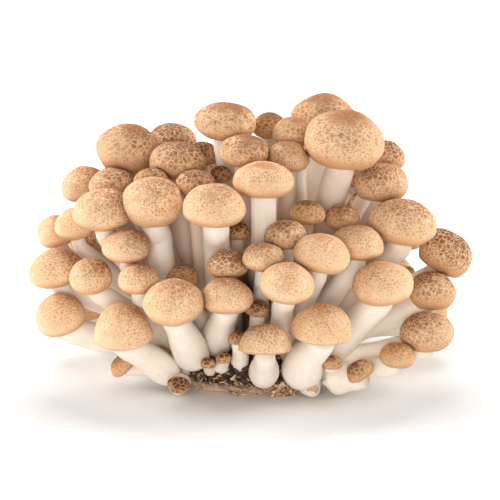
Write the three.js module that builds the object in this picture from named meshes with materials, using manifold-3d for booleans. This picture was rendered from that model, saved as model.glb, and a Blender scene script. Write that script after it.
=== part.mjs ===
// A cluster of brown beech mushrooms on its cut block of growing medium.
// Millimetres, +Z up. The origin is the middle of the flat cut base, and -Y is the front.
import * as THREE from "three";
import { mergeVertices } from "three/addons/utils/BufferGeometryUtils.js";
import Module from "manifold-3d";

const wasm = await Module();
wasm.setup();

// ---------------------------------------------------------------- driving dimensions, mm

const blockRadius = 28; // the cut block of growing medium
const blockHeight = 11;
const footRadius = 19; // the white mass on top of the block, in which the stems begin
const footBack = 4; // how far behind the middle of the block it stands
const footHeight = 18;
const footBottom = blockHeight + 0.6;
const gap = 0.3; // clear space between neighbours that touch
const stemDrop = 0.5; // clear space between a stem's end and its cap
const buttonSink = 0.3; // how far a whole button's stem runs up into its cap, as a share of its radius
const rootReach = 23; // how far from the middle the roots of the outermost stems stand
const rootSpread = 20; // how soon the roots reach that far, as the caps stand further out
const frontReach = 0.6; // the roots at the front stand less far out, and leave the block's edge bare
const rootHeight = footBottom + 3;
const lowRootHeight = footBottom + 0.5; // the roots of the lowest stems that fan out
const lowCap = 22; // a cap at this height has the lowest root, and one twice as high the highest
const neckLength = 5; // the straight end of a stem below its cap
const neckShare = 0.15; // and the most of a short stem's length that it takes up
const routeSteps = 8; // how many steps a stem's middle line is worked out in
const routePasses = 40; // how many times it is pushed clear of the caps in its way
const routeSmoothing = 0.1; // how much each pass evens it out
const passingGap = 0.9; // how far a stem aims to pass from a cap
const longestStep = 1.5; // the furthest that one pass moves a point
const brushAllowed = 0.2; // a smaller overlap with a cap grown by the gap is left, mm3
const ownCapGrowth = 0.02; // a stem is also kept this far out of its own cap
const ownCapAllowed = 0.005; // a smaller overlap with its own cap is left, mm3
const stemFloor = 0.6; // the lowest stems pass this far above the surface below
const stemFlare = 0.3; // how much wider a stem is at its root
const marginDrop = 0.38; // the rolled rim below the widest ring, as a share of the cap's radius
const seatShare = 0.53; // how far down the rim's depth the stem meets the gills
const domePower = 0.96; // how pointed the dome is, 1 being an ellipse
const seatEdge = 0.6; // the gills start this far out from the stem
const seatRange = [0.4, 0.64]; // and between these shares of the cap's radius
const rimLowest = 0.74; // where the rim is lowest, as a share of the cap's radius
const rimSide = [0.94, 0.6]; // a ring half way round the rim: how far out, and how far down
const lobes = [0.02, 0.015]; // how much the rim swells twice and three times round
const gillRise = 0.045; // height of the coarse gill ridges, as a share of the cap's radius
const gillReach = 0.8; // how far out the ridges go, as a share of the cap's radius
const largeWidth = 17; // a cap from this width up is a large one
const darkWidth = 13; // a cap below this width is young and dark
const mainSides = 12; // sides round a large cap, and round the smaller ones
const smallSides = 8;
const backSides = 8;
const buttonSides = 6;
const thickStem = 4.3; // a stem of a larger radius than this is a thick one
const stemSides = 6; // sides round a thick stem, and round a thin one
const thinStemSides = 5;
const stemRings = [0, 0.35, 0.75, 1]; // where a stem's rings lie, from its root to its cap
const thinStemRings = [0, 0.5, 1];
const rootletSides = 5;
const rootletWidths = [0.8, 0.6]; // a rootlet's outer and inner end, as shares of its stem's radius
const rootletEnd = [0.5, footBottom + 2]; // it ends this share of the way in, at this height
const footSides = 12;
const footSteps = 4;
const blockSides = 18;
const blockLumps = 0.018; // how far the block's side swells in and out
const blockTilt = 0.06; // how much its top edge rises and falls
const strawCount = 5;
const strawWidths = [0.35, 0.55]; // radius of a splinter's two ends
const strawLengths = [7, 11];
const strawHeights = [4.5, 7.5];
const strawSpread = 80; // the splinters stand in this many degrees at the front

// A back row's caps: dome, stem width, the lean of a cap at height 0 and how much less it is for
// each millimetre up, the steps in height and width, and how much both vary.
const backDome = 0.8;
const backStem = 7;
const backLean = 26;
const backUpright = 0.25;
const backStep = { height: 2, width: -1.2 };
const backVaries = { height: 2, width: 1.6 };

// Each cap: name, x, y and z of the middle of its widest ring, its width, its dome height as a
// share of its radius, its lean to the right and its nod to the front in degrees, and its stem's
// width. Some have a root of their own, a flare of the stem's root, and a rim of another depth.
const frontCaps = [
  ["cap_top_1", -41, 21, 70, 20, 0.86, 4, 0, 7.5, null, 0.3, 0.6],
  ["cap_top_2", -26, 34, 68, 17, 0.8, 0, 0, 6],
  ["cap_top_3", -8, 21, 79, 20.5, 0.7, 3, 0, 7.5],
  ["cap_top_4", 6.5, 30, 74.5, 12, 0.9, 0, 0, 5.5],
  ["cap_top_5", 14.5, 20, 75.5, 14, 0.84, 0, 0, 7.2, [17, 12, 14.6]],
  ["cap_top_6", 24.5, 35, 76, 21.5, 0.8, 0, 0, 8.5],
  ["cap_top_7", 31, 8.5, 76.4, 27.5, 0.8, 8, 0, 10, null, 0.3, 0.52],
  ["cap_top_8", 44.5, 28, 65, 14.5, 0.8, 10, 0, 6.5],

  ["cap_upper_1", -55.5, 18, 58, 15.5, 0.85, -20, 0, 5.5],
  ["cap_upper_2", -45.5, 7, 61, 16, 0.82, 0, 0, 5.5],
  ["cap_upper_3", -48.2, -10, 57.5, 20, 0.82, -5, 0, 7],
  ["cap_upper_4", -32.5, 1.5, 64.5, 12, 0.82, 0, 0, 5],
  ["cap_upper_5", -32, -13.5, 62, 19.5, 0.9, 0, 6, 9, [-26, -9, 14], 0.3, 0.58],
  ["cap_upper_6", -24, 11, 68.5, 18.5, 0.76, 0, 0, 9, [-20, 8, 14.6]],
  ["cap_upper_7", -16, 24, 67, 11.5, 0.82, 0, 0, 5],
  ["cap_upper_8", -18, -3, 65, 13.5, 0.78, 0, 0, 5],
  ["cap_upper_9", -9.5, 8, 65, 7.5, 0.85, 0, 0, 4],
  ["cap_upper_10", -11.5, -23, 62.8, 20.3, 0.86, 0, 0, 9, [-8, -7, 14.6]],
  ["cap_upper_11", -2, 4.5, 74, 16.5, 0.72, 0, 0, 6],
  ["cap_upper_12", 4.5, -11, 69, 19.8, 0.64, 0, 0, 8],
  ["cap_upper_13", 12.5, 7, 71, 14.5, 0.82, 0, 0, 6],
  ["cap_upper_14", 43.5, 12.5, 61, 18.5, 0.68, 0, 0, 7, null, 0.3, 0.5],

  ["cap_middle_1", -64.3, 8, 45, 13.5, 0.9, -15, 0, 5, null, 0.3, 0.5],
  ["cap_middle_2", -57.8, 0, 50, 13.5, 0.9, -10, 0, 5, null, 0.3, 0.5],
  ["cap_middle_3", -64, -7, 36.5, 18.5, 0.8, -15, 0, 7],
  ["cap_middle_4", -52.4, -20, 38.5, 14.5, 0.9, -5, 6, 7, [-24, -10, 10], 0.3, 0.5],
  ["cap_middle_5", -40.5, -19.5, 48.5, 16.5, 0.76, 0, 0, 5],
  ["cap_middle_6", -36.5, -28, 40, 14.5, 0.8, 0, 0, 5],
  ["cap_middle_7", -22, -22, 39, 11, 0.8, 0, 0, 5],
  ["cap_middle_8", -7.5, -26, 44.5, 14, 0.74, 0, 0, 5.5],
  ["cap_middle_9", 4.5, -29, 47.8, 14.5, 0.74, 5, 0, 5],
  ["cap_middle_10", 11.5, -19.5, 52.4, 14, 0.8, -5, 0, 5],
  ["cap_middle_11", 19, -4.5, 55.5, 12, 0.76, 5, 0, 5],
  ["cap_middle_12", 30.5, -1, 52.5, 12, 0.82, 0, 0, 5],
  ["cap_middle_13", 23.5, -28, 48.5, 19, 0.76, 12, 0, 6.5],
  ["cap_middle_14", 35.5, -14.5, 47.9, 17, 0.78, 5, 0, 6.5],
  ["cap_middle_15", 50.5, -2.5, 51, 22.5, 0.78, 8, 0, 8.5],
  ["cap_middle_16", 65, 5, 39, 18.5, 0.8, 29, 0, 6.5, null, 0.3, 0.58],
  ["cap_middle_17", 60.5, -6, 29.5, 15.5, 0.78, 5, 0, 8, [19, -5, 9.5], 0.3, 0.66],

  ["cap_lower_1", -62.3, -16, 22.8, 17, 1.02, -20, 6, 9, [-30, -8, 5.4], 0.05],
  ["cap_lower_2", -41.7, -32, 22.3, 19.5, 1.16, -4, 5, 9.5, [-25.5, -21.5, 5.4], -0.05, 0.2],
  ["cap_lower_3", -25, -39.5, 35.6, 20, 0.82, 0, 4, 9, [-18.5, -23, 11], 0.35, 0.44],
  ["cap_lower_4", -7.5, -35, 36, 17, 0.84, 0, 0, 8.5, [-11.5, -16, 13.5], 0.3],
  ["cap_lower_5", 12, -40, 42.5, 18, 0.82, 8, 5, 7, [10, -17, 13], 0.2, 0.44],
  ["cap_lower_6", 5, -44, 21.8, 17, 1, 0, -14, 7, [4.5, -29, 7.6], 0.5, 0.14],
  ["cap_lower_7", 23.5, -38, 25.3, 20, 1, 3, 0, 10, [16.5, -26, 6.5], 0.45, 0.16],
  ["cap_lower_8", 43.5, -25, 37, 21, 0.78, 0, 0, 10, [24, -17, 9], 0.2],
  ["cap_lower_9", 58.5, -16.5, 18, 18, 0.78, -3, 0, 9, [23, -19, 5.8], 0.1, 0.48],
  ["cap_lower_10", 48.5, -26, 12.8, 12, 0.85, 5, 0, 6.5, [24, -24, 5], 0.2],

  ["button_cap_1", -42, -16, 6.5, 9, 0.8, -40, 0, 4, [-22, -14, 5]],
  ["button_cap_2", -23.4, -35, 6.3, 7.8, 0.5, 8, 22, 5, [-22.5, -26, 4.4], 0.3, 0.2],
  ["button_cap_3", 36, -31, 9.5, 10, 0.75, -30, 0, 8.5, [27, -26.5, 5.2], 0.25],
];

// The smallest buttons are one with the white mass: cap and stem grow as a single piece.
const wholeButtons = [
  ["button_shaded_1", -4, -7, 50, 8.5, 0.8, 0, 0, 4.5],
  ["button_shaded_2", 2.5, -28, 30, 8, 0.8, 0, 0, 5, [2, -16, 12]],
  ["button_shaded_3", -4, -37, 23, 6.5, 0.8, 0, 0, 4.5, [-3.5, -24.5, 9]],
  ["button_shaded_4", 52.5, 9, 31, 5, 0.8, 0, 0, 3],
  ["button_low_1", -29.5, -16.5, 10.5, 7, 0.8, 0, 0, 4, [-22, -15, 5]],
  ["button_low_2", -8.7, -30.5, 14, 5.5, 0.8, 0, 0, 4, [-9.3, -24.5, 8.5]],
  ["button_low_3", -13.7, -31.5, 12.5, 5, 0.8, 0, 0, 3.2, [-13.2, -25, 8]],
  ["button_low_4", 27, -30, 12, 6.5, 0.8, 0, 0, 4.2, [26, -24.5, 6]],
  ["button_low_5", 20.5, -31.5, 3.6, 4, 0.5, 0, -50, 5.5, [19.5, -28, 3.2]],
];

// The front mushrooms that reach back under the block's top to the white mass.
const reachingBack = [
  "cap_lower_2", "cap_lower_6", "cap_lower_7", "cap_lower_8", "button_low_1", "button_shaded_3",
];

// Round the back the caps press together in rows, and each row is one body of fused caps. A row
// runs along an ellipse between two angles, measured from +X towards +Y.
const backRows = {
  caps_back_low_right: { count: 4, from: 19, to: 78, halfX: 58, halfY: 53, height: 19.5, width: 20.5 },
  caps_back_low_left: { count: 4, from: 161, to: 102, halfX: 56, halfY: 51, height: 20, width: 20.5 },
  caps_back_middle_right: { count: 4, from: 30, to: 74, halfX: 56, halfY: 56, height: 40.5, width: 19 },
  caps_back_middle_left: { count: 5, from: 158, to: 96, halfX: 55, halfY: 56, height: 40.5, width: 18.5 },
  caps_back_upper_right: { count: 3, from: 55, to: 79, halfX: 62, halfY: 53, height: 56, width: 16.5 },
  caps_back_upper_left: { count: 3, from: 131, to: 100, halfX: 62, halfY: 52, height: 55.5, width: 18.5 },
};

// ---------------------------------------------------------------- finish

const capFinish = new THREE.MeshStandardMaterial({ color: 0xb88c60, roughness: 0.6, metalness: 0 });
const darkCapFinish = new THREE.MeshStandardMaterial({ color: 0x7d5238, roughness: 0.6, metalness: 0 });
const stemFinish = new THREE.MeshStandardMaterial({ color: 0xefe4d2, roughness: 0.65, metalness: 0 });
const blockFinish = new THREE.MeshStandardMaterial({ color: 0x3a2a20, roughness: 0.95, metalness: 0 });

// ---------------------------------------------------------------- helpers

function seededDraw(seed) {
  let state = seed;
  return () => {
    state = (state * 16807) % 2147483647;
    return state / 2147483647;
  };
}

function solidFrom(geometry) {
  geometry.deleteAttribute("normal");
  geometry.deleteAttribute("uv");
  const merged = mergeVertices(geometry, 1e-4);
  const vertProperties = new Float32Array(merged.attributes.position.array);
  const triVerts = new Uint32Array(merged.index.array);
  return new wasm.Manifold(new wasm.Mesh({ numProp: 3, vertProperties, triVerts }));
}

function geometryFrom(solid) {
  const mesh = solid.getMesh();
  const geometry = new THREE.BufferGeometry();
  geometry.setAttribute("position", new THREE.BufferAttribute(new Float32Array(mesh.vertProperties), 3));
  geometry.setIndex(new THREE.BufferAttribute(new Uint32Array(mesh.triVerts), 1));
  return geometry;
}

// A cut can leave crumbs, and only the largest piece stays.
function largestPiece(solid) {
  const pieces = solid.decompose();
  pieces.sort((a, b) => b.volume() - a.volume());
  return pieces[0];
}

function joined(solids) {
  return solids.reduce((whole, solid) => whole.add(solid));
}

// ---------------------------------------------------------------- one mushroom's numbers

function mushroom(row, sides) {
  const [name, x, y, z, width, dome, lean, nod, stemWidth, root, flare, margin] = row;
  const leanAngle = THREE.MathUtils.degToRad(lean);
  const nodAngle = THREE.MathUtils.degToRad(nod);
  const axis = new THREE.Vector3(
    Math.sin(leanAngle),
    -Math.sin(nodAngle) * Math.cos(leanAngle),
    Math.cos(nodAngle) * Math.cos(leanAngle),
  );
  axis.normalize();
  const centre = new THREE.Vector3(x, y, z);
  return {
    name,
    centre,
    axis,
    radius: width / 2,
    dome,
    stem: stemWidth / 2,
    ownRoot: root,
    flare: flare ?? stemFlare,
    margin: margin ?? marginDrop,
    sides,
  };
}

// A row's caps lean outward, step up and down in turn, and vary a little in width.
const drawBack = seededDraw(1907);

function backRow(name, row) {
  const caps = [];
  for (let i = 0; i < row.count; i += 1) {
    const degrees = row.from + ((row.to - row.from) * i) / (row.count - 1);
    const angle = THREE.MathUtils.degToRad(degrees);
    const x = row.halfX * Math.cos(angle);
    const y = row.halfY * Math.sin(angle);
    const step = i % 2 === 0 ? -1 : 1;
    const z = row.height + backStep.height * step + backVaries.height * (drawBack() - 0.5);
    const width = row.width + backStep.width * step + backVaries.width * drawBack();
    const outward = backLean - backUpright * row.height;
    const lean = outward * Math.cos(angle);
    const nod = -outward * Math.sin(angle);
    caps.push(mushroom([name, x, y, z, width, backDome, lean, nod, backStem], backSides));
  }
  return caps;
}

// The middle of a cap's thickness, and how far the cap reaches from there along a direction.
function bodyMiddle(cap) {
  return cap.centre.clone().addScaledVector(cap.axis, ((cap.dome - cap.margin) / 2) * cap.radius);
}

function reachAlong(cap, direction) {
  const halfHeight = ((cap.dome + cap.margin) / 2) * cap.radius;
  const upShare = cap.axis.dot(direction) ** 2;
  return Math.sqrt(cap.radius ** 2 * (1 - upShare) + halfHeight ** 2 * upShare);
}

// ---------------------------------------------------------------- caps

// Half of a cap's section, from the crown out over the rolled rim and back along the gills.
function capProfile(cap, growth) {
  const { dome, margin, stem } = cap;
  const radius = cap.radius / Math.sqrt(Math.cos(Math.PI / cap.sides));
  const seatRadius = THREE.MathUtils.clamp(stem + seatEdge, seatRange[0] * radius, seatRange[1] * radius);
  const seat = -seatShare * margin * radius - growth;
  const points = [new THREE.Vector2(0, seat)];
  points.push(new THREE.Vector2(seatRadius, seat));
  points.push(new THREE.Vector2(rimLowest * radius, -margin * radius - growth));
  const sideDrop = rimSide[1] * margin * radius + 0.7 * growth;
  points.push(new THREE.Vector2(rimSide[0] * radius + growth, -sideDrop));
  const rings = cap.sides === mainSides ? [90, 56, 27] : [90, 45];
  for (const degrees of rings) {
    const angle = THREE.MathUtils.degToRad(degrees);
    const out = Math.sin(angle) ** domePower;
    const up = Math.max(Math.cos(angle), 0) ** domePower;
    points.push(new THREE.Vector2(out * (radius + growth), up * (dome * radius + growth)));
  }
  points.push(new THREE.Vector2(0, dome * radius + growth));
  return points;
}

// The rim is slightly lobed, and below it every second spoke is raised into a gill ridge.
function shapeCap(geometry, cap) {
  const position = geometry.attributes.position;
  const turn = cap.centre.x * 1.7 + cap.centre.y;
  for (let i = 0; i < position.count; i += 1) {
    const x = position.getX(i);
    const y = position.getY(i);
    const z = position.getZ(i);
    const out = Math.hypot(x, y);
    const angle = Math.atan2(y, x);
    const lobe = 1 + lobes[0] * Math.sin(2 * angle + turn) + lobes[1] * Math.sin(3 * angle - turn);
    const underside = z < -0.8 * cap.margin * cap.radius && out < gillReach * cap.radius;
    const spoke = Math.round((angle / (2 * Math.PI)) * cap.sides + cap.sides) % 2;
    const ridge = underside ? (spoke - 0.5) * gillRise * cap.radius : 0;
    position.setXYZ(i, x * lobe, y * lobe, z + ridge);
  }
}

function placement(cap) {
  const turn = new THREE.Quaternion().setFromUnitVectors(new THREE.Vector3(0, 0, 1), cap.axis);
  return new THREE.Matrix4().compose(cap.centre, turn, new THREE.Vector3(1, 1, 1));
}

function capSolid(cap, growth) {
  const geometry = new THREE.LatheGeometry(capProfile(cap, growth), cap.sides);
  geometry.rotateX(Math.PI / 2);
  shapeCap(geometry, cap);
  geometry.applyMatrix4(placement(cap));
  return solidFrom(geometry);
}

// ---------------------------------------------------------------- stems

// How far a cap hangs outward, in degrees from straight above the origin.
function hangOf(cap) {
  const { x, y, z } = cap.centre;
  return THREE.MathUtils.radToDeg(Math.atan2(Math.hypot(x, y), z));
}

// Roots fan out from the middle, lower down for a low cap and less far at the front.
function rootOf(cap) {
  if (cap.ownRoot) {
    return new THREE.Vector3(...cap.ownRoot);
  }
  const { x, y, z } = cap.centre;
  const out = Math.max(Math.hypot(x, y), 1);
  const reach = (rootReach * (1 - Math.exp(-out / rootSpread))) / out;
  const deep = y < 0 ? frontReach : 1;
  const share = THREE.MathUtils.clamp((z - lowCap) / lowCap, 0, 1);
  const height = THREE.MathUtils.lerp(lowRootHeight, rootHeight, share);
  return new THREE.Vector3(x * reach, y * reach * deep, height);
}

// The middle of a cap's underside, where the stem goes in.
function seatOf(cap) {
  return cap.centre.clone().addScaledVector(cap.axis, -seatShare * cap.margin * cap.radius);
}

// The way a stem goes into its cap: a short front stem comes in nearly straight.
function entryOf(cap) {
  const straight = seatOf(cap).sub(rootOf(cap)).normalize();
  return cap.axis.clone().lerp(straight, cap.ownRoot ? 0.85 : 0.15).normalize();
}

// A stem widens towards its root, and along runs from 0 there to 1 at the cap.
function stemRadius(cap, along) {
  return cap.stem * (1 + cap.flare * (1 - along) ** 2);
}

// A stem gives way mostly in depth, so that it still looks upright from the front.
function stepAside(point, away, short) {
  const way = new THREE.Vector3(away.x * 0.4, away.y, away.z * 0.3).normalize();
  const length = (0.5 * short) / Math.max(away.dot(way), 0.4);
  point.addScaledVector(way, Math.min(length, longestStep));
}

// The middle line of a stem rises from its root, and bends clear of every cap in its way.
function stemRoute(cap, caps, topDrop) {
  const root = rootOf(cap);
  const top = seatOf(cap).addScaledVector(cap.axis, -topDrop);
  const span = top.clone().sub(root);
  const length = span.length();
  const rise = new THREE.Vector3(span.x * 0.5, span.y * 0.5, span.z * 0.7).normalize();
  const low = root.clone().addScaledVector(rise, length * 0.35);
  const entry = entryOf(cap);
  const straightEnd = cap.ownRoot ? 0.3 : 0.45 - 0.003 * hangOf(cap);
  const high = top.clone().addScaledVector(entry, -length * straightEnd);
  const points = new THREE.CubicBezierCurve3(root, low, high, top).getPoints(routeSteps);
  const neck = Math.min(neckLength, neckShare * length);
  points.splice(routeSteps, 0, top.clone().addScaledVector(entry, -neck));
  for (let pass = 0; pass < routePasses; pass += 1) {
    for (let i = 1; i < routeSteps; i += 1) {
      for (const other of caps) {
        if (other === cap) {
          continue;
        }
        const away = points[i].clone().sub(bodyMiddle(other));
        const distance = away.length();
        away.normalize();
        const short = reachAlong(other, away) + cap.stem + passingGap - distance;
        if (short > 0) {
          stepAside(points[i], away, short);
        }
      }
      const between = points[i - 1].clone().add(points[i + 1]).multiplyScalar(0.5);
      points[i].lerp(between, routeSmoothing);
      points[i].z = Math.max(points[i].z, stemRadius(cap, i / routeSteps) + stemFloor);
    }
  }
  return new THREE.CatmullRomCurve3(points, false, "centripetal");
}

function stemGeometry(cap, route, sides, rings, growth) {
  const up = new THREE.Vector3(0, 0, 1);
  const profile = [new THREE.Vector2(0, 0)];
  for (const along of rings) {
    profile.push(new THREE.Vector2(stemRadius(cap, along) + growth, along));
  }
  profile.push(new THREE.Vector2(0, 1));
  const geometry = new THREE.LatheGeometry(profile, sides);
  geometry.rotateX(Math.PI / 2);
  const position = geometry.attributes.position;
  for (let i = 0; i < position.count; i += 1) {
    const along = THREE.MathUtils.clamp(position.getZ(i), 0, 1);
    const middle = route.getPoint(along);
    const ahead = along < 1 ? route.getTangent(along) : cap.axis;
    const turn = new THREE.Quaternion().setFromUnitVectors(up, ahead);
    const offset = new THREE.Vector3(position.getX(i), position.getY(i), 0).applyQuaternion(turn);
    middle.add(offset);
    position.setXYZ(i, middle.x, middle.y, middle.z);
  }
  return geometry;
}

function stemSolid(cap, caps, growth, topDrop) {
  const route = stemRoute(cap, caps, topDrop);
  const thick = cap.stem > thickStem;
  const sides = thick ? stemSides : thinStemSides;
  const rings = thick ? stemRings : thinStemRings;
  return solidFrom(stemGeometry(cap, route, sides, rings, growth));
}

// A stem that still brushes a cap is hollowed there, with the usual gap. Its own cap only counts
// where a slanting stem would come up through the gills.
function clearOfCaps(solid, own, grownCaps) {
  let result = solid;
  for (const { cap, grown } of grownCaps) {
    const brushed = cap === own ? capSolid(cap, ownCapGrowth) : grown;
    const allowed = cap === own ? ownCapAllowed : brushAllowed;
    if (result.intersect(brushed).volume() > allowed) {
      result = largestPiece(result.subtract(grown));
    }
  }
  return result;
}

// The buried end of a low stem, from its root back into the white mass.
function rootletSolid(cap, growth) {
  const root = rootOf(cap);
  const inner = new THREE.Vector3(root.x * rootletEnd[0], root.y * rootletEnd[0], rootletEnd[1]);
  const along = root.clone().sub(inner);
  const [wide, narrow] = rootletWidths.map((share) => share * cap.stem + growth);
  const geometry = new THREE.CylinderGeometry(wide, narrow, along.length(), rootletSides);
  const turn = new THREE.Quaternion().setFromUnitVectors(new THREE.Vector3(0, 1, 0), along.normalize());
  geometry.applyQuaternion(turn);
  const middle = root.clone().add(inner).multiplyScalar(0.5);
  geometry.translate(middle.x, middle.y, middle.z);
  return solidFrom(geometry);
}

function footSolid(growth) {
  const profile = [];
  for (let i = 0; i <= footSteps; i += 1) {
    const angle = (i / footSteps) * (Math.PI / 2);
    const radius = i === footSteps ? 0 : Math.cos(angle) * footRadius + growth;
    profile.push(new THREE.Vector2(radius, footBottom + Math.sin(angle) * footHeight + growth));
  }
  profile.unshift(new THREE.Vector2(footRadius + growth, footBottom - growth));
  profile.unshift(new THREE.Vector2(0, footBottom - growth));
  const geometry = new THREE.LatheGeometry(profile, footSides);
  geometry.rotateX(Math.PI / 2);
  geometry.translate(0, footBack, 0);
  return solidFrom(geometry);
}

// ---------------------------------------------------------------- block

// A low round block with a torn, lumpy side and a flat cut base.
function blockSolid() {
  const profile = [
    new THREE.Vector2(0, 0),
    new THREE.Vector2(blockRadius * 0.9, 0),
    new THREE.Vector2(blockRadius * 0.97, blockHeight * 0.18),
    new THREE.Vector2(blockRadius, blockHeight * 0.5),
    new THREE.Vector2(blockRadius * 0.95, blockHeight * 0.82),
    new THREE.Vector2(blockRadius * 0.8, blockHeight),
    new THREE.Vector2(0, blockHeight),
  ];
  const geometry = new THREE.LatheGeometry(profile, blockSides);
  geometry.rotateX(Math.PI / 2);
  const position = geometry.attributes.position;
  for (let i = 0; i < position.count; i += 1) {
    const x = position.getX(i);
    const y = position.getY(i);
    const z = position.getZ(i);
    const angle = Math.atan2(y, x);
    const lumps = [Math.sin(5 * angle + 0.4 * z), 0.7 * Math.sin(11 * angle - z), 0.5 * Math.sin(17 * angle)];
    const lump = lumps[0] + lumps[1] + lumps[2];
    const swell = 1 + blockLumps * lump;
    const lift = 1 + blockTilt * Math.sin(3 * angle + 1);
    position.setXYZ(i, x * swell, y * swell, z * lift);
  }
  return solidFrom(geometry);
}

// Splinters of straw stand out of the front of the block, with their ends sunk well in.
function strawSolids() {
  const draw = seededDraw(71);
  const straws = [];
  for (let i = 0; i < strawCount; i += 1) {
    const angle = THREE.MathUtils.degToRad(-90 + (draw() - 0.4) * strawSpread);
    const length = THREE.MathUtils.lerp(...strawLengths, draw());
    const geometry = new THREE.CylinderGeometry(...strawWidths, length, 4);
    const lean = (draw() - 0.5) * 2.2;
    geometry.rotateZ(lean);
    geometry.rotateX(0.5 * draw());
    geometry.rotateZ(angle + Math.PI / 2);
    const height = THREE.MathUtils.lerp(...strawHeights, draw());
    const out = blockRadius * 0.97;
    geometry.translate(out * Math.cos(angle), out * Math.sin(angle), height);
    straws.push(solidFrom(geometry));
  }
  return straws;
}

// ---------------------------------------------------------------- assembly

const cluster = new THREE.Group();

function addPiece(name, solid, finish, matrix) {
  const geometry = geometryFrom(solid);
  geometry.applyMatrix4(matrix.clone().invert());
  const mesh = new THREE.Mesh(geometry, finish.clone());
  mesh.name = name;
  mesh.applyMatrix4(matrix);
  cluster.add(mesh);
}

const shownCaps = frontCaps.map((row) => mushroom(row, row[4] >= largeWidth ? mainSides : smallSides));
const buttons = wholeButtons.map((row) => mushroom(row, buttonSides));
const backGroups = Object.entries(backRows).map(([name, row]) => ({ name, caps: backRow(name, row) }));
const hiddenCaps = backGroups.flatMap((group) => group.caps);
const allCaps = [...shownCaps, ...buttons, ...hiddenCaps];
const grownCaps = allCaps.map((cap) => ({ cap, grown: capSolid(cap, gap) }));

// A cap that presses on one that comes before it gives way to it.
function capClearOf(solid, before) {
  let result = solid;
  for (const { grown } of before) {
    if (result.intersect(grown).volume() > brushAllowed) {
      result = largestPiece(result.subtract(grown));
    }
  }
  return result;
}

shownCaps.forEach((cap, index) => {
  const solid = capClearOf(capSolid(cap, 0), grownCaps.slice(0, index));
  const finish = cap.radius < darkWidth / 2 ? darkCapFinish : capFinish;
  addPiece(cap.name, solid, finish, placement(cap));
});

let taken = grownCaps.slice(0, shownCaps.length + buttons.length);
for (const group of backGroups) {
  const fused = joined(group.caps.map((cap) => capSolid(cap, 0)));
  addPiece(group.name, capClearOf(fused, taken), capFinish, new THREE.Matrix4());
  taken = [...taken, ...grownCaps.filter(({ cap }) => group.caps.includes(cap))];
}

function whiteMass(growth) {
  const otherCaps = grownCaps.filter(({ cap }) => !buttons.includes(cap));
  const pieces = [footSolid(growth)];
  for (const cap of [...shownCaps, ...hiddenCaps]) {
    const stem = stemSolid(cap, allCaps, growth, stemDrop);
    pieces.push(growth > 0 ? stem : clearOfCaps(stem, cap, grownCaps));
  }
  for (const cap of allCaps.filter(({ name }) => reachingBack.includes(name))) {
    pieces.push(rootletSolid(cap, growth));
  }
  for (const cap of buttons) {
    const whole = stemSolid(cap, allCaps, growth, -buttonSink * cap.radius).add(capSolid(cap, growth));
    pieces.push(growth > 0 ? whole : clearOfCaps(whole, undefined, otherCaps));
  }
  return largestPiece(joined(pieces));
}

addPiece("stems", whiteMass(0), stemFinish, new THREE.Matrix4());

const block = joined([blockSolid(), ...strawSolids()]);
addPiece("growing_block", largestPiece(block.subtract(whiteMass(gap))), blockFinish, new THREE.Matrix4());

export default cluster;
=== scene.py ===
import math
import random

import bmesh
import bpy
from mathutils import Matrix, Vector, noise


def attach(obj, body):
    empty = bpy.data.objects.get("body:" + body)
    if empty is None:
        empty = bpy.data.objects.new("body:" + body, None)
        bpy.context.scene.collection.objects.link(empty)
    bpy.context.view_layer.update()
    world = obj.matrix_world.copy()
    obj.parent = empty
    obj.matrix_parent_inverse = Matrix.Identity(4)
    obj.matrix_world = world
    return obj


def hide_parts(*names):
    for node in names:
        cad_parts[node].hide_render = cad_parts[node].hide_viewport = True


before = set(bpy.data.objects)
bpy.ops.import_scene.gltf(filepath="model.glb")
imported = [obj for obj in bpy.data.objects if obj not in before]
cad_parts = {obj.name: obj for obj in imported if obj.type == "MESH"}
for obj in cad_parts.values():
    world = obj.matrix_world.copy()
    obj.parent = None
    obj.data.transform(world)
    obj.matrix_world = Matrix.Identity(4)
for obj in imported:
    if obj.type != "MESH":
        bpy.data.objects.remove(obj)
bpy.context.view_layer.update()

MM = 0.001
UP = Vector((0, 0, 1))

# ---------------------------------------------------------------- driving dimensions, mm

BLOCK_RADIUS = 28.0
BLOCK_HEIGHT = 11.0
FOOT_RADIUS = 19.0  # the white mass on top of the block, in which the stems begin
FOOT_BACK = 4.0  # how far behind the middle of the block it stands
FOOT_HEIGHT = 18.0
FOOT_BOTTOM = BLOCK_HEIGHT + 0.6
GAP = 0.3  # clear space between neighbours that touch
STEM_DROP = 0.5  # clear space between a stem's end and its cap
ROOT_REACH = 23.0  # how far from the middle the roots of the outermost stems stand
ROOT_SPREAD = 20.0  # how soon the roots reach that far, as the caps stand further out
FRONT_REACH = 0.6  # the roots at the front stand less far out, and leave the block's edge bare
ROOT_HEIGHT = FOOT_BOTTOM + 3
LOW_ROOT_HEIGHT = FOOT_BOTTOM + 0.5  # the roots of the lowest stems that fan out
LOW_CAP = 22.0  # a cap at this height has the lowest root, and one twice as high the highest
NECK_LENGTH = 5.0  # the straight end of a stem below its cap
OWN_ENTRY = 0.85  # how straight on a stem with a root of its own goes into its cap, 1 being fully
FANNED_ENTRY = 0.15  # how straight on the others go in
ROUTE_STEPS = 8  # how many steps a stem's middle line is worked out in
ROUTE_ROUNDS = 40  # how many times over the steps are moved clear of the caps
LARGEST_STEP = 1.5  # how far a step moves at a time
PASSING_GAP = 0.9  # how far a stem is led clear of the caps in its way
STEM_FLOOR = 0.6  # the lowest stems pass this far above the surface below
STEM_FLARE = 0.3  # how much wider a stem is at its root
MARGIN_DROP = 0.38  # the rolled rim below the widest ring, as a share of the cap's radius
SEAT_SHARE = 0.53  # how far down the rim's depth the stem meets the gills
SEAT_SMALLEST, SEAT_LARGEST = 0.4, 0.64  # how wide the gills leave the middle, in cap radii
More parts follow.
